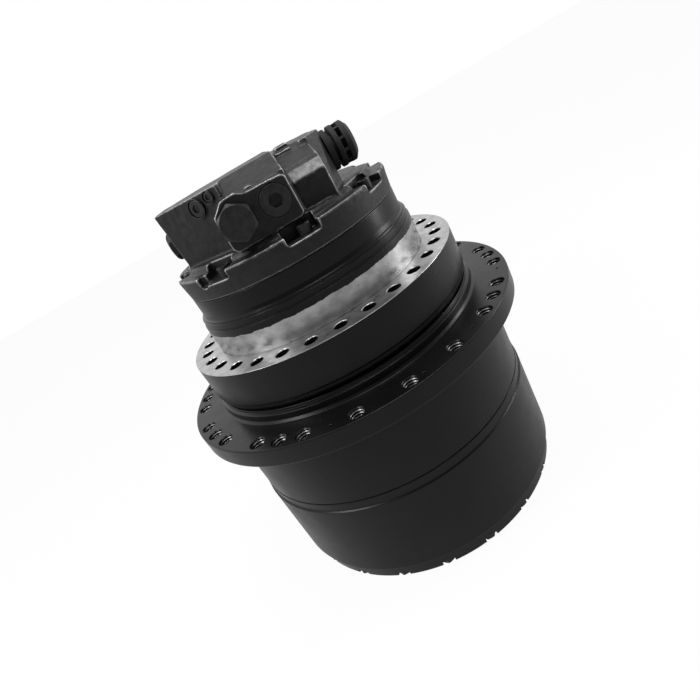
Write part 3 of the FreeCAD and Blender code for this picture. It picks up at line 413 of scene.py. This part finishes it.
def taken(piece):
    """The piece's shape, taken out of the scene."""
    shape = bmesh.new()
    shape.from_mesh(piece.data)
    bpy.data.objects.remove(piece)
    return shape


def placed(shape, move=(0, 0, 0), turn=None):
    """The shape turned, then moved by millimetres."""
    matrix = Matrix.Translation(Vector(move) * MM) @ (turn.to_4x4() if turn else Matrix())
    bmesh.ops.transform(shape, matrix=matrix, verts=shape.verts)
    return shape


def along(direction):
    """The turn that lays +Z along a direction."""
    return Vector((0, 0, 1)).rotation_difference(Vector(direction)).to_matrix()


def about(axis, angle):
    """The turn by an angle about an axis."""
    return Matrix.Rotation(angle, 3, axis)


def round_place(radius, degrees, level):
    """A place at an angle from the front, turning towards +X."""
    return (radius * sin(radians(degrees)), -radius * cos(radians(degrees)), level)


def joined(shapes):
    """One shape from several."""
    whole = bmesh.new()
    for shape in shapes:
        mesh = bpy.data.meshes.new("part")
        shape.to_mesh(mesh)
        whole.from_mesh(mesh)
        bpy.data.meshes.remove(mesh)
        shape.free()
    return whole


def modified(piece, kind, **settings):
    """Apply one modifier to a piece."""
    modifier = piece.modifiers.new(kind.lower(), kind)
    for name, value in settings.items():
        setattr(modifier, name, value)
    shown = piece.evaluated_get(bpy.context.evaluated_depsgraph_get())
    mesh = bpy.data.meshes.new_from_object(shown)
    piece.modifiers.clear()
    old, piece.data = piece.data, mesh
    bpy.data.meshes.remove(old)
    return piece


def combined(piece, shape, operation):
    """Cut a shape out of a piece, or keep only what both hold."""
    tool = helper("tool", shape)
    modified(piece, "BOOLEAN", object=tool, operation=operation, solver="EXACT")
    bpy.data.objects.remove(tool)
    return piece


def carved(piece, shapes):
    """Cut the shapes out of a piece. None of them may overlap another."""
    return combined(piece, joined(shapes), "DIFFERENCE")


def crisp(piece, angle=28):
    """Smooth shading that keeps flat faces flat."""
    piece.data.shade_smooth()
    piece.data.set_sharp_from_angle(angle=radians(angle))
    piece.modifiers.new("flat_faces", "WEIGHTED_NORMAL").keep_sharp = True
    return piece


def dressed(piece, body, slot, *nodes):
    """Hang a piece on its body, in the place of its CAD nodes."""
    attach(piece, body)
    if nodes:
        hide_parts(*nodes)
    return piece


def hole(radius, depth, chamfer=1.0):
    """A blind hole with a countersunk mouth at level 0, as a cutter."""
    mouth, above = radius + chamfer, 2
    return lathe_bmesh([(0, -depth, 0), (radius, -depth, 0), (radius, -chamfer, 0), (mouth, 0, 0),
                        (mouth, above, 0), (0, above, 0)], 36)


def hexagon(radius):
    """The corners of a hexagon."""
    return [(radius * cos(pi * k / 3), radius * sin(pi * k / 3)) for k in range(6)]


def hex_head(radius, height, chamfer=1.0):
    """A hexagonal head standing on level 0, with its corners turned off."""
    head = helper("hex", prism_bmesh(hexagon(radius), 0, height))
    flat = radius * cos(pi / 6)
    turned = lathe_bmesh([(0, -1, 0), (radius + 2, -1, 0), (radius + 2, height - chamfer * 1.6, 0),
                          (flat * 0.97, height, 0.3), (0, height, 0)], 48)
    return taken(combined(head, turned, "INTERSECT"))


def socket_head(radius, height, depth, across):
    """A round head with a hexagon socket of a depth and a width across its flats."""
    round_head = lathe_bmesh([(0, 0, 0), (radius, 0, 0), (radius, height, 0.8), (0, height, 0)], 48)
    socket = prism_bmesh(hexagon(across / 2 / cos(pi / 6)), height - depth, height + 2)
    return taken(carved(helper("socket", round_head), [socket]))


# ---------------------------------------------------------------- hub and motor casing


def make_hub(material):
    """The frame flange with its bolt holes, and the hollow spindle below it."""
    low, high = node_box("hub_casting")
    rim, foot = high[0], low[2]
    step = rim - 1.4
    hub = from_bmesh("hub_body", lathe_bmesh([
        (SWASH_BAY, 0, 0.3), (rim, 0, 1.1), (rim, FLANGE_LIP + 9, 0.6), (step, FLANGE_LIP + 7, 0.8),
        (step, FLANGE_LIP + 3, 0.6), (rim - 3.5, FLANGE_LIP, 1.0), (SHOULDER, FLANGE_LIP, 1.0),
        (SHOULDER, BEARING_TOP, 0.6), (SPINDLE, BEARING_TOP, 0.6), (SPINDLE, foot, 1.0),
        (SPINDLE_BORE, foot, 1.0), (SPINDLE_BORE, BULKHEAD_BOTTOM, 2.0), (SHAFT_BORE, BULKHEAD_BOTTOM, 0.6),
        (SHAFT_BORE, BULKHEAD_TOP, 0.6), (SWASH_BAY, BULKHEAD_TOP, 3.0),
    ]), material)
    bolts = mount_sizes("frame_bolts")
    cutters = []
    for k in range(bolts["count"]):
        place = round_place(bolts["pcd_mm"] / 2, 360 * k / bolts["count"], 0)
        cutters.append(placed(hole(bolts["hole_r_mm"], FRAME_HOLE_DEPTH), place))
    for degrees in EDGE_DIMPLES:
        place = round_place(rim + 0.5, degrees, FLANGE_LIP + 4.5)
        cutters.append(placed(cylinder(1.1, -2, 2, 16), place, along(round_place(1, degrees, 0))))
    dressed(crisp(carved(hub, cutters)), "drive_frame", "machined_iron", "hub_casting")


def make_motor_casing(material):
    """The bright boss, the band above it, and the wall round the motor."""
    boss, joint = mount_sizes("frame_pilot")["r_mm"], node_box("motor_casing")[1][2]
    groove, neck = boss - 1.0, boss - 1.9
    casing = from_bmesh("casing_body", lathe_bmesh([
        (SWASH_BAY, 0, 0), (groove, 0, 0), (groove, 1.2, 0.2), (boss, 1.9, 0.4), (boss, BOSS_TOP, 0.5),
        (neck, 35.8, 0.2), (neck, 37, 0.2), (BAND, 37.6, 0.3), (BAND, 43.4, 0.5), (147.6, 43.9, 0.2),
        (147.4, 46.2, 0.5), (145.4, 47, 0.6), (CASING_WALL, 52, 2.0), (CASING_WALL, joint, 1.0),
        (MOTOR_BORE, joint, 0.5), (MOTOR_BORE, BRAKE_SEAT, 0.5), (SWASH_BAY, BRAKE_SEAT, 0.5),
    ]), material)
    dressed(crisp(casing), "drive_frame", "machined_iron", "motor_casing")


# ---------------------------------------------------------------- the turning gear case


def make_sprocket_housing(material, thread_material):
    """The pilot collar, the sprocket flange with its holes, and the case round the bearings."""
    low, high = node_box("sprocket_housing")
    rim, top, joint = high[0], high[2], low[2]
    collar = mount_sizes("sprocket_pilot")["r_mm"]
    housing = from_bmesh("housing_body", lathe_bmesh([
        (SEAL_POCKET, top, 0.5), (collar - 4.5, top, 0.8), (collar - 4.0, -60, 0.5),
        (collar - 0.6, -61.6, 0.8), (collar, SPROCKET_FACE + 3, 0.5), (collar + 2.2, SPROCKET_FACE, 1.6),
        (rim, SPROCKET_FACE, 1.6), (rim, SPROCKET_BACK, 2.2), (CASE + 2, SPROCKET_BACK, 6.0),
        (CASE, SPROCKET_BACK - 8, 3.0), (CASE, joint, 0.9), (BEARING_SEAT, joint, 1.0),
        (BEARING_SEAT, RIB_BOTTOM, 0.4), (BEARING_RIB, RIB_BOTTOM, 0.6), (BEARING_RIB, RIB_TOP, 0.6),
        (BEARING_SEAT, RIB_TOP, 0.4), (BEARING_SEAT, SEAL_FLOOR, 0.6), (SEAL_POCKET, SEAL_FLOOR, 0.6),
    ]), material)
    radius = mount_sizes("sprocket_bolts")["hole_r_mm"]
    steps = [*SINGLE_HOLES, *(step + side for step in TRIPLE_HOLES for side in (-1, 0, 1))]
    places = [round_place(SPROCKET_CIRCLE, 360 * step / SPROCKET_PLACES, SPROCKET_FACE) for step in steps]
    cutters = [placed(hole(radius, SPROCKET_HOLE_DEPTH, 1.2), place) for place in places]
    for degrees in DRILL_SPOTS:
        cutters.append(placed(hole(1.4, 3, 0.5), round_place(SPROCKET_CIRCLE + 1, degrees, SPROCKET_FACE)))
    dressed(crisp(carved(housing, cutters)), "sprocket_hub", "black_paint", "sprocket_housing")
    make_hole_threads(radius, places, thread_material)


def make_hole_threads(radius, places, material):
    """Thread ridges inside the sprocket holes, each a closed ring."""
    count, first, pitch, half = 5, -3.5, 3.4, 1.2
    sunk, crest = radius + 0.4, radius - 0.7
    ridges = []
    for place in places:
        for k in range(count):
            level = first - pitch * k
            ring = lathe_bmesh([(sunk, level - half, 0), (sunk, level + half, 0), (crest, level, 0)], 24)
            ridges.append(placed(ring, place))
    threads = from_bmesh("hole_threads", joined(ridges), material)
    dressed(crisp(threads, 20), "sprocket_hub", "black_paint")


def tooth_outline(teeth, tip, root, half_tip, half_root):
    """The outline of teeth with straight flanks. The halves are half angles of a tooth."""
    points = []
    for k in range(teeth):
        centre = 2 * pi * k / teeth
        for radius, half in ((root, -half_root), (tip, -half_tip), (tip, half_tip), (root, half_root)):
            points.append((radius * cos(centre + half), radius * sin(centre + half)))
    return points


def make_ring_gear(material):
    """The lower gear case, with a turned step at its top and the teeth inside."""
    low, high = node_box("ring_gear")
    radius, bottom, top = high[0], low[2], high[2]
    step, seam, inside = radius - 1.8, top - 0.1, 120
    ring = from_bmesh("ring_gear_body", lathe_bmesh([
        (inside, seam, 0), (step, seam, 1.0), (step, top - 12, 0.5), (radius, top - 13.4, 0.8),
        (radius, bottom, 1.0), (inside, bottom, 0),
    ]), material)
    teeth = tooth_outline(RING_TEETH, TOOTH_TIP, TOOTH_ROOT, HALF_TIP, HALF_ROOT)
    carved(ring, [prism_bmesh(teeth, bottom - OVERCUT, top + OVERCUT)])
    dressed(crisp(ring), "sprocket_hub", "black_paint", "ring_gear")


def make_gear_cover(material, bolt_material):
    """The gear cover, notched round its rim for the screws, with recesses for the oil plugs."""
    low, high = node_box("gear_cover")
    radius, foot, joint = high[0], low[2], node_box("ring_gear")[0][2]
    seam, ceiling = joint - 0.2, foot + NOTCH_DEPTH
    cover = from_bmesh("gear_cover_body", lathe_bmesh([
        (0, foot + 2, 0), (150, foot + 2, 4), (156, foot, 3), (radius - 2.2, foot, 3),
        (radius, seam, 0.9), (SPIGOT, seam, 0.4), (SPIGOT, high[2], 1), (0, high[2], 0),
    ]), material)
    notches, heads = [], []
    wide, end, past, through = NOTCH_HALF_WIDTH, -NOTCH_END, -radius - OVERCUT, 60
    for k in range(NOTCHES):
        degrees = 360 * (k + 0.5) / NOTCHES
        slot = prism_bmesh([(-wide, end), (-wide, past), (wide, past), (wide, end)], foot - OVERCUT, ceiling)
        notches.append(placed(slot, turn=about("Z", radians(degrees))))
        arch = cylinder(wide, foot - OVERCUT, ceiling, 32)
        notches.append(placed(arch, round_place(NOTCH_END, degrees, 0)))
        place = round_place(COVER_BOLT_CIRCLE, degrees, ceiling + 0.1)
        heads.append(placed(hex_head(9.5, 6.2), place, about("X", pi) @ about("Z", 0.7 * k)))
    for degrees in OIL_PLUG_ANGLES:
        recess = lathe_bmesh([(0, -OVERCUT, 0), (OIL_HEAD, -OVERCUT, 0), (OIL_HEAD, OIL_RECESS, 0),
                              (OIL_THREAD, OIL_RECESS, 0), (OIL_THREAD, through, 0), (0, through, 0)], 48)
        notches.append(placed(recess, round_place(OIL_PLUG_CIRCLE, degrees, foot)))
    for notch in notches:
        carved(cover, [notch])
    dressed(crisp(cover), "sprocket_hub", "black_paint", "gear_cover")
    bolts = from_bmesh("cover_bolts", joined(heads), bolt_material)
    dressed(crisp(bolts), "sprocket_hub", "plug_steel")


# ---------------------------------------------------------------- the end cover


def cast_skin(name, shapes, material, grain=1.3):
    """Overlapping closed shapes melted into one casting, with soft corners."""
    solid = from_bmesh(name, joined(shapes), material)
    modified(solid, "REMESH", mode="VOXEL", voxel_size=grain * MM)
    return modified(solid, "SMOOTH", factor=0.5, iterations=3)


def pocketed_flange(joint, material):
    """The round flange of the end cover, with its screw pockets and one dip in its rim."""
    flange = from_bmesh("flange", lathe_bmesh([
        (0, joint, 0), (144.2, joint, 0), (147, 99, 0), (146, COVER_RIM_TOP, 0), (131, COVER_RIM_TOP, 0),
        (129, 106, 0), (126, COVER_TOP, 0), (0, COVER_TOP, 0),
    ]), material)
    half_width, wall, past, floor, above = 20, -119, -160, 91.5, 115
    pockets = []
    for k in range(POCKETS):
        pocket = box_bmesh((-half_width, past, floor), (half_width, wall, above))
        pockets.append(placed(pocket, turn=about("Z", radians(POCKET_START + 360 * k / POCKETS))))
    carved(flange, pockets)
    dip = box_bmesh((-27, past, floor - 2), (-17, -136, above))
    carved(flange, [placed(dip, turn=about("Z", radians(POCKET_START)))])
    return taken(flange)


def valve_head(top):
    """The closed shapes of the valve head, which overlap. A prism's outline comes before its span."""
    slant_end = (SLANT_START[0] + SLANT_RUN[0], SLANT_START[1] + SLANT_RUN[1])
    left_block = loft_bmesh(
        [(-118.5, -43), (-40, -107), (-36, -104), (-36, 84), (-76, 84), (-118.5, 36)],
        [SLANT_START, slant_end, (-36, -107), (-36, 86), (-78, 86), (-121, 38)], HEAD_FOOT, top)
    middle_block = prism_bmesh([(-111, 100), (-111, 158), (-72, top), (86, top), (86, 100)], -38, 29, "X")
    right_block = prism_bmesh(
        [(-108, 95), (-111, 139), (-101, 150), (-97, 155), (-58, 172.5), (86, 172.5), (86, 95)], 32, 70, "X")
    port_side = loft_bmesh([(60, -107), (68, -107), (86, -60), (86, 43), (61, 84)],
                           [(60, -70), (70, -70), (88, -50), (88, 44), (62, 86)], HEAD_FOOT, 172)
    web = box_bmesh((20, -70, 140), (50, 60, 171))
    pad = box_bmesh((34, -62, 165), (50, -30, 176.5))
    plug_boss = prism_bmesh(
        [(-57, 149), (-43, 161), (-27, 162), (-18.5, 157.5), (22, 155.5), (27, 152.5), (27, 112),
         (22, 108.5), (-52, 108), (-57, 113)], BOSS_FRONT, -100, "Y")
    stud = placed(cylinder(9, 0, 30, 64), (-12, -121, 152), along((0, 1, 0)))
    return [left_block, middle_block, right_block, port_side, web, pad, plug_boss, stud]


def roughen(piece, joint):
    """Small hollows of a sand casting, away from the machined joint."""
    start, blend = 4, 12  # where they begin above the joint, and the height over which they grow
    waves = ((9, 0.55), (26, 1.1))  # length and depth
    normals = [vertex.normal.copy() for vertex in piece.data.vertices]
    for vertex, normal in zip(piece.data.vertices, normals):
        level = vertex.co.z / MM - joint
        if level > start:
            share = min(1, (level - start) / blend)
            wave = sum(noise.noise(vertex.co / (length * MM)) * depth for length, depth in waves)
            vertex.co += normal * min(wave, 0) * share * MM


def make_end_cover(material, screw_material):
    """The cast end cover with its valve head, and the screws in its pockets."""
    low, high = node_box("end_cover")
    joint = low[2]
    cover = cast_skin("end_cover_casting", [pocketed_flange(joint, material), *valve_head(high[2])], material)
    roughen(cover, joint)
    cover.data.shade_smooth()
    dressed(cover, "drive_frame", "black_paint", "end_cover")
    radius, heads = 7.8, []
    for k in range(POCKETS):
        degrees = POCKET_START + 360 * k / POCKETS + SCREW_TURN
        head = socket_head(radius, 11.5, 6.5, radius * 1.05)
        heads.append(placed(head, round_place(SCREW_CIRCLE, degrees, SCREW_SEAT)))
    screws = from_bmesh("cover_screws", joined(heads), screw_material)
    dressed(crisp(screws), "drive_frame", "plug_steel")


# ---------------------------------------------------------------- plugs of the valve head


def collar_ring(inside, outside, height, fillet):
    """A flat ring standing on level 0."""
    return lathe_bmesh([(inside, 0, 0), (outside, 0, 0), (outside, height, fillet), (inside, height, fillet)],
                       COARSE)


def make_spool_plug(material):
    x, _, z = middle("spool_plug")
    turn = along((0, -1, 0)) @ about("Z", pi / 6)
    plug = from_bmesh("spool_plug_body", placed(hex_head(21, 11.5, 2.4), (x, BOSS_FRONT, z), turn), material)
    dressed(crisp(plug), "drive_frame", "plug_steel", "spool_plug")


def make_relief_valve(material):
    x, _, z = middle("relief_valve")
    shapes = [socket_head(16.3, 4.5, 9, 13.5), collar_ring(17.2, 18.6, 1.6, 0.3)]
    shape = placed(joined(shapes), (x, BOSS_FRONT + 1, z), along((0, -1, 0)))
    relief = from_bmesh("relief_body", shape, material)
    dressed(crisp(relief), "drive_frame", "plug_steel", "relief_valve")


def make_gallery_plugs(material):
    """Two socket plugs on the slanted left face, each a share of the way along it."""
    sunk = 8
    shapes = []
    for radius, share, level in ((10.4, 0.63, 164), (6.6, 0.85, 169)):
        x, y = (start + run * share for start, run in zip(SLANT_START, SLANT_RUN))
        place = Vector((x, y, level)) - SLANT_OUT * sunk
        for shape in (socket_head(radius - 1, sunk + 0.9, 6, radius * 0.85),
                      collar_ring(radius - 0.3, radius + 0.8, sunk + 1.8, 0.4)):
            shapes.append(placed(shape, place, along(SLANT_OUT)))
    plugs = from_bmesh("gallery_plugs_body", joined(shapes), material)
    dressed(crisp(plugs), "drive_frame", "plug_steel", "gallery_plugs")


def make_side_plug(material):
    _, y, z = middle("side_plug")
    head = placed(hex_head(17, 8, 2.4), (SLANT_START[0] + 0.5, y, z), along((-1, 0, 0)))
    plug = from_bmesh("side_plug_body", head, material)
    dressed(crisp(plug), "drive_frame", "plug_steel", "side_plug")


def make_port_cap(material):
    """The moulded plug of the side port: three discs on a hub, with ribs between the outer two."""
    _, y, z = middle("port_plug")
    shapes = [lathe_bmesh([
        (0, 0, 0), (24, 0, 0), (24, 7, 1.2), (15, 7.5, 1), (15, 11, 0), (24.5, 11, 0.8), (24.5, 17, 0.8),
        (14, 17.5, 1), (14, 22.5, 1), (24, 23, 0.8), (24, 29, 1.5), (18, 33.5, 1), (0, 33.5, 0),
    ], 96)]
    ribs = 10
    for k in range(ribs):
        shapes.append(placed(box_bmesh((8, -1.4, 14), (23.5, 1.4, 28)), turn=about("Z", 2 * pi * k / ribs)))
    cap = from_bmesh("port_cap_body", placed(joined(shapes), (PORT_FACE, y, z), along((1, 0, 0))), material)
    dressed(crisp(cap), "drive_frame", "black_plastic", "port_plug")


# ---------------------------------------------------------------- camera, light and floor


def make_camera():
    """A camera at the photograph's viewing angle."""
    camera = bpy.data.objects.new("camera", bpy.data.cameras.new("camera"))
    bpy.context.scene.collection.objects.link(camera)
    tilt = radians(CAMERA_TILT)
    back, up = Vector((0, -cos(tilt), sin(tilt))), Vector((0, sin(tilt), cos(tilt)))
    level = Matrix((Vector((1, 0, 0)), up, back)).transposed()
    facing = level @ about("Z", radians(CAMERA_ROLL))
    camera.matrix_world = Matrix.Translation(Vector(CAMERA_PLACE) * MM) @ facing.to_4x4()
    camera.data.sensor_width = CAMERA_SENSOR
    camera.data.lens = CAMERA_LENS
    camera.data.clip_start = 0.01
    bpy.context.scene.camera = camera


def add_lamp(name, place, aim, size, power):
    """A soft rectangular lamp. Its places and sizes are in metres."""
    lamp = bpy.data.objects.new(name, bpy.data.lights.new(name, "AREA"))
    bpy.context.scene.collection.objects.link(lamp)
    lamp.data.shape = "RECTANGLE"
    lamp.data.size, lamp.data.size_y = size
    lamp.data.energy = power
    lamp.location = place
    lamp.rotation_euler = (Vector(aim) - Vector(place)).to_track_quat("-Z", "Y").to_euler()


def make_light():
    """A white surround, dimmer behind the camera, and three soft lamps."""
    world = bpy.data.worlds.new("studio")
    bpy.context.scene.world = world
    world.use_nodes = True
    studio = Nodes(world.node_tree)
    path = studio.node("ShaderNodeLightPath")
    across = studio.fed("ShaderNodeSeparateXYZ", studio.node("ShaderNodeTexCoord").outputs["Generated"])
    glow = studio.fed("ShaderNodeMapRange", across.outputs["Y"], *GLOW_SPAN, GLOW_FRONT, 1.0).outputs[0]
    plain = studio.math("MULTIPLY", glow, GLOW_DIFFUSE)
    lit = studio.mix(path.outputs["Is Glossy Ray"], plain, glow, NUMBERS)
    background = world.node_tree.nodes["Background"]
    studio.feed(background.inputs["Strength"], studio.mix(studio.seen(path), lit, 1, NUMBERS))
    background.inputs["Color"].default_value = (1, 1, 1, 1)
    add_lamp("key", (-1.3, -0.5, 1.1), (0, 0, 0), (0.5, 0.9), 14)
    add_lamp("fill", (1.5, -0.1, 0.3), (0, 0, -0.1), (0.3, 1.2), 9)
    add_lamp("top", (0.1, -0.3, 1.5), (0, 0, 0), (0.8, 0.5), 10)


def make_floor():
    """A pale floor that looks nearly white to the camera and still takes a faint shadow."""
    bpy.ops.mesh.primitive_plane_add(size=FLOOR_SIZE, location=(0, 0, cad_box[0][2] - FLOOR_GAP))
    floor = bpy.context.object
    floor.name = "floor"
    look = Shader("floor_white")
    look.set(Base_Color=(FLOOR_TONE, FLOOR_TONE, FLOOR_TONE, 1), Roughness=0.9)
    path = look.node("ShaderNodeLightPath")
    mirrored = look.math("MULTIPLY", path.outputs["Is Glossy Ray"], FLOOR_MIRRORED)
    share = look.math("MAXIMUM", look.math("MULTIPLY", look.seen(path), FLOOR_SEEN), mirrored)
    glow = look.node("ShaderNodeEmission")
    glow.inputs["Strength"].default_value = FLOOR_GLOW
    blend = look.fed("ShaderNodeMixShader", share, look.surface.outputs[0], glow.outputs[0])
    look.feed(look.output.inputs["Surface"], blend.outputs[0])
    floor.data.materials.append(look.material)


# ---------------------------------------------------------------- the drive

bpy.context.scene.view_settings.view_transform = "Standard"
make_camera()
make_light()
make_floor()

# Tones, roughness, metal, and the size and depth of the grain
dark_steel = plain_finish("dark_steel", 0.02, 0.045, 0.35, 0.4, 0.8, 0.02)
thread_steel = plain_finish("thread_steel", 0.12, 0.3, 0.3, 0.9, 0.8, 0.02)
enamel = black_paint()
rough_paint = cast_paint()
bare_iron = hub_finish(PAINT_LINE)

make_hub(bare_iron)
make_motor_casing(bare_iron)
make_end_cover(rough_paint, dark_steel)
make_spool_plug(dark_steel)
make_relief_valve(dark_steel)
make_gallery_plugs(dark_steel)
make_side_plug(dark_steel)
make_port_cap(bpy.data.materials["black_plastic"])  # the frame's own plastic
make_sprocket_housing(enamel, thread_steel)
make_ring_gear(enamel)
make_gear_cover(enamel, dark_steel)

# The CAD's own meshes stay for the nodes that nothing above replaces.
LOOKS = {
    "gear_steel": plain_finish("gear_steel", 0.3, 0.5, 0.3, 0.95, 0.7, 0.01),
    "inner_iron": plain_finish("inner_iron", 0.12, 0.2, 0.45, 0.8, 1.2, 0.04),
    "bronze": plain_finish("bronze", 0.2, 0.3, 0.35, 0.9, 0.8, 0.01),
    "seal_rubber": plain_finish("seal_rubber", 0.012, 0.02, 0.6, 0.0, 0.6, 0.02),
    "plug_steel": dark_steel,
}
for entry in frame["record"]["subparts"]:
    if entry["material_slot"] in LOOKS:
        for used in frame["nodes"][entry["node"]].material_slots:
            used.material = LOOKS[entry["material_slot"]]
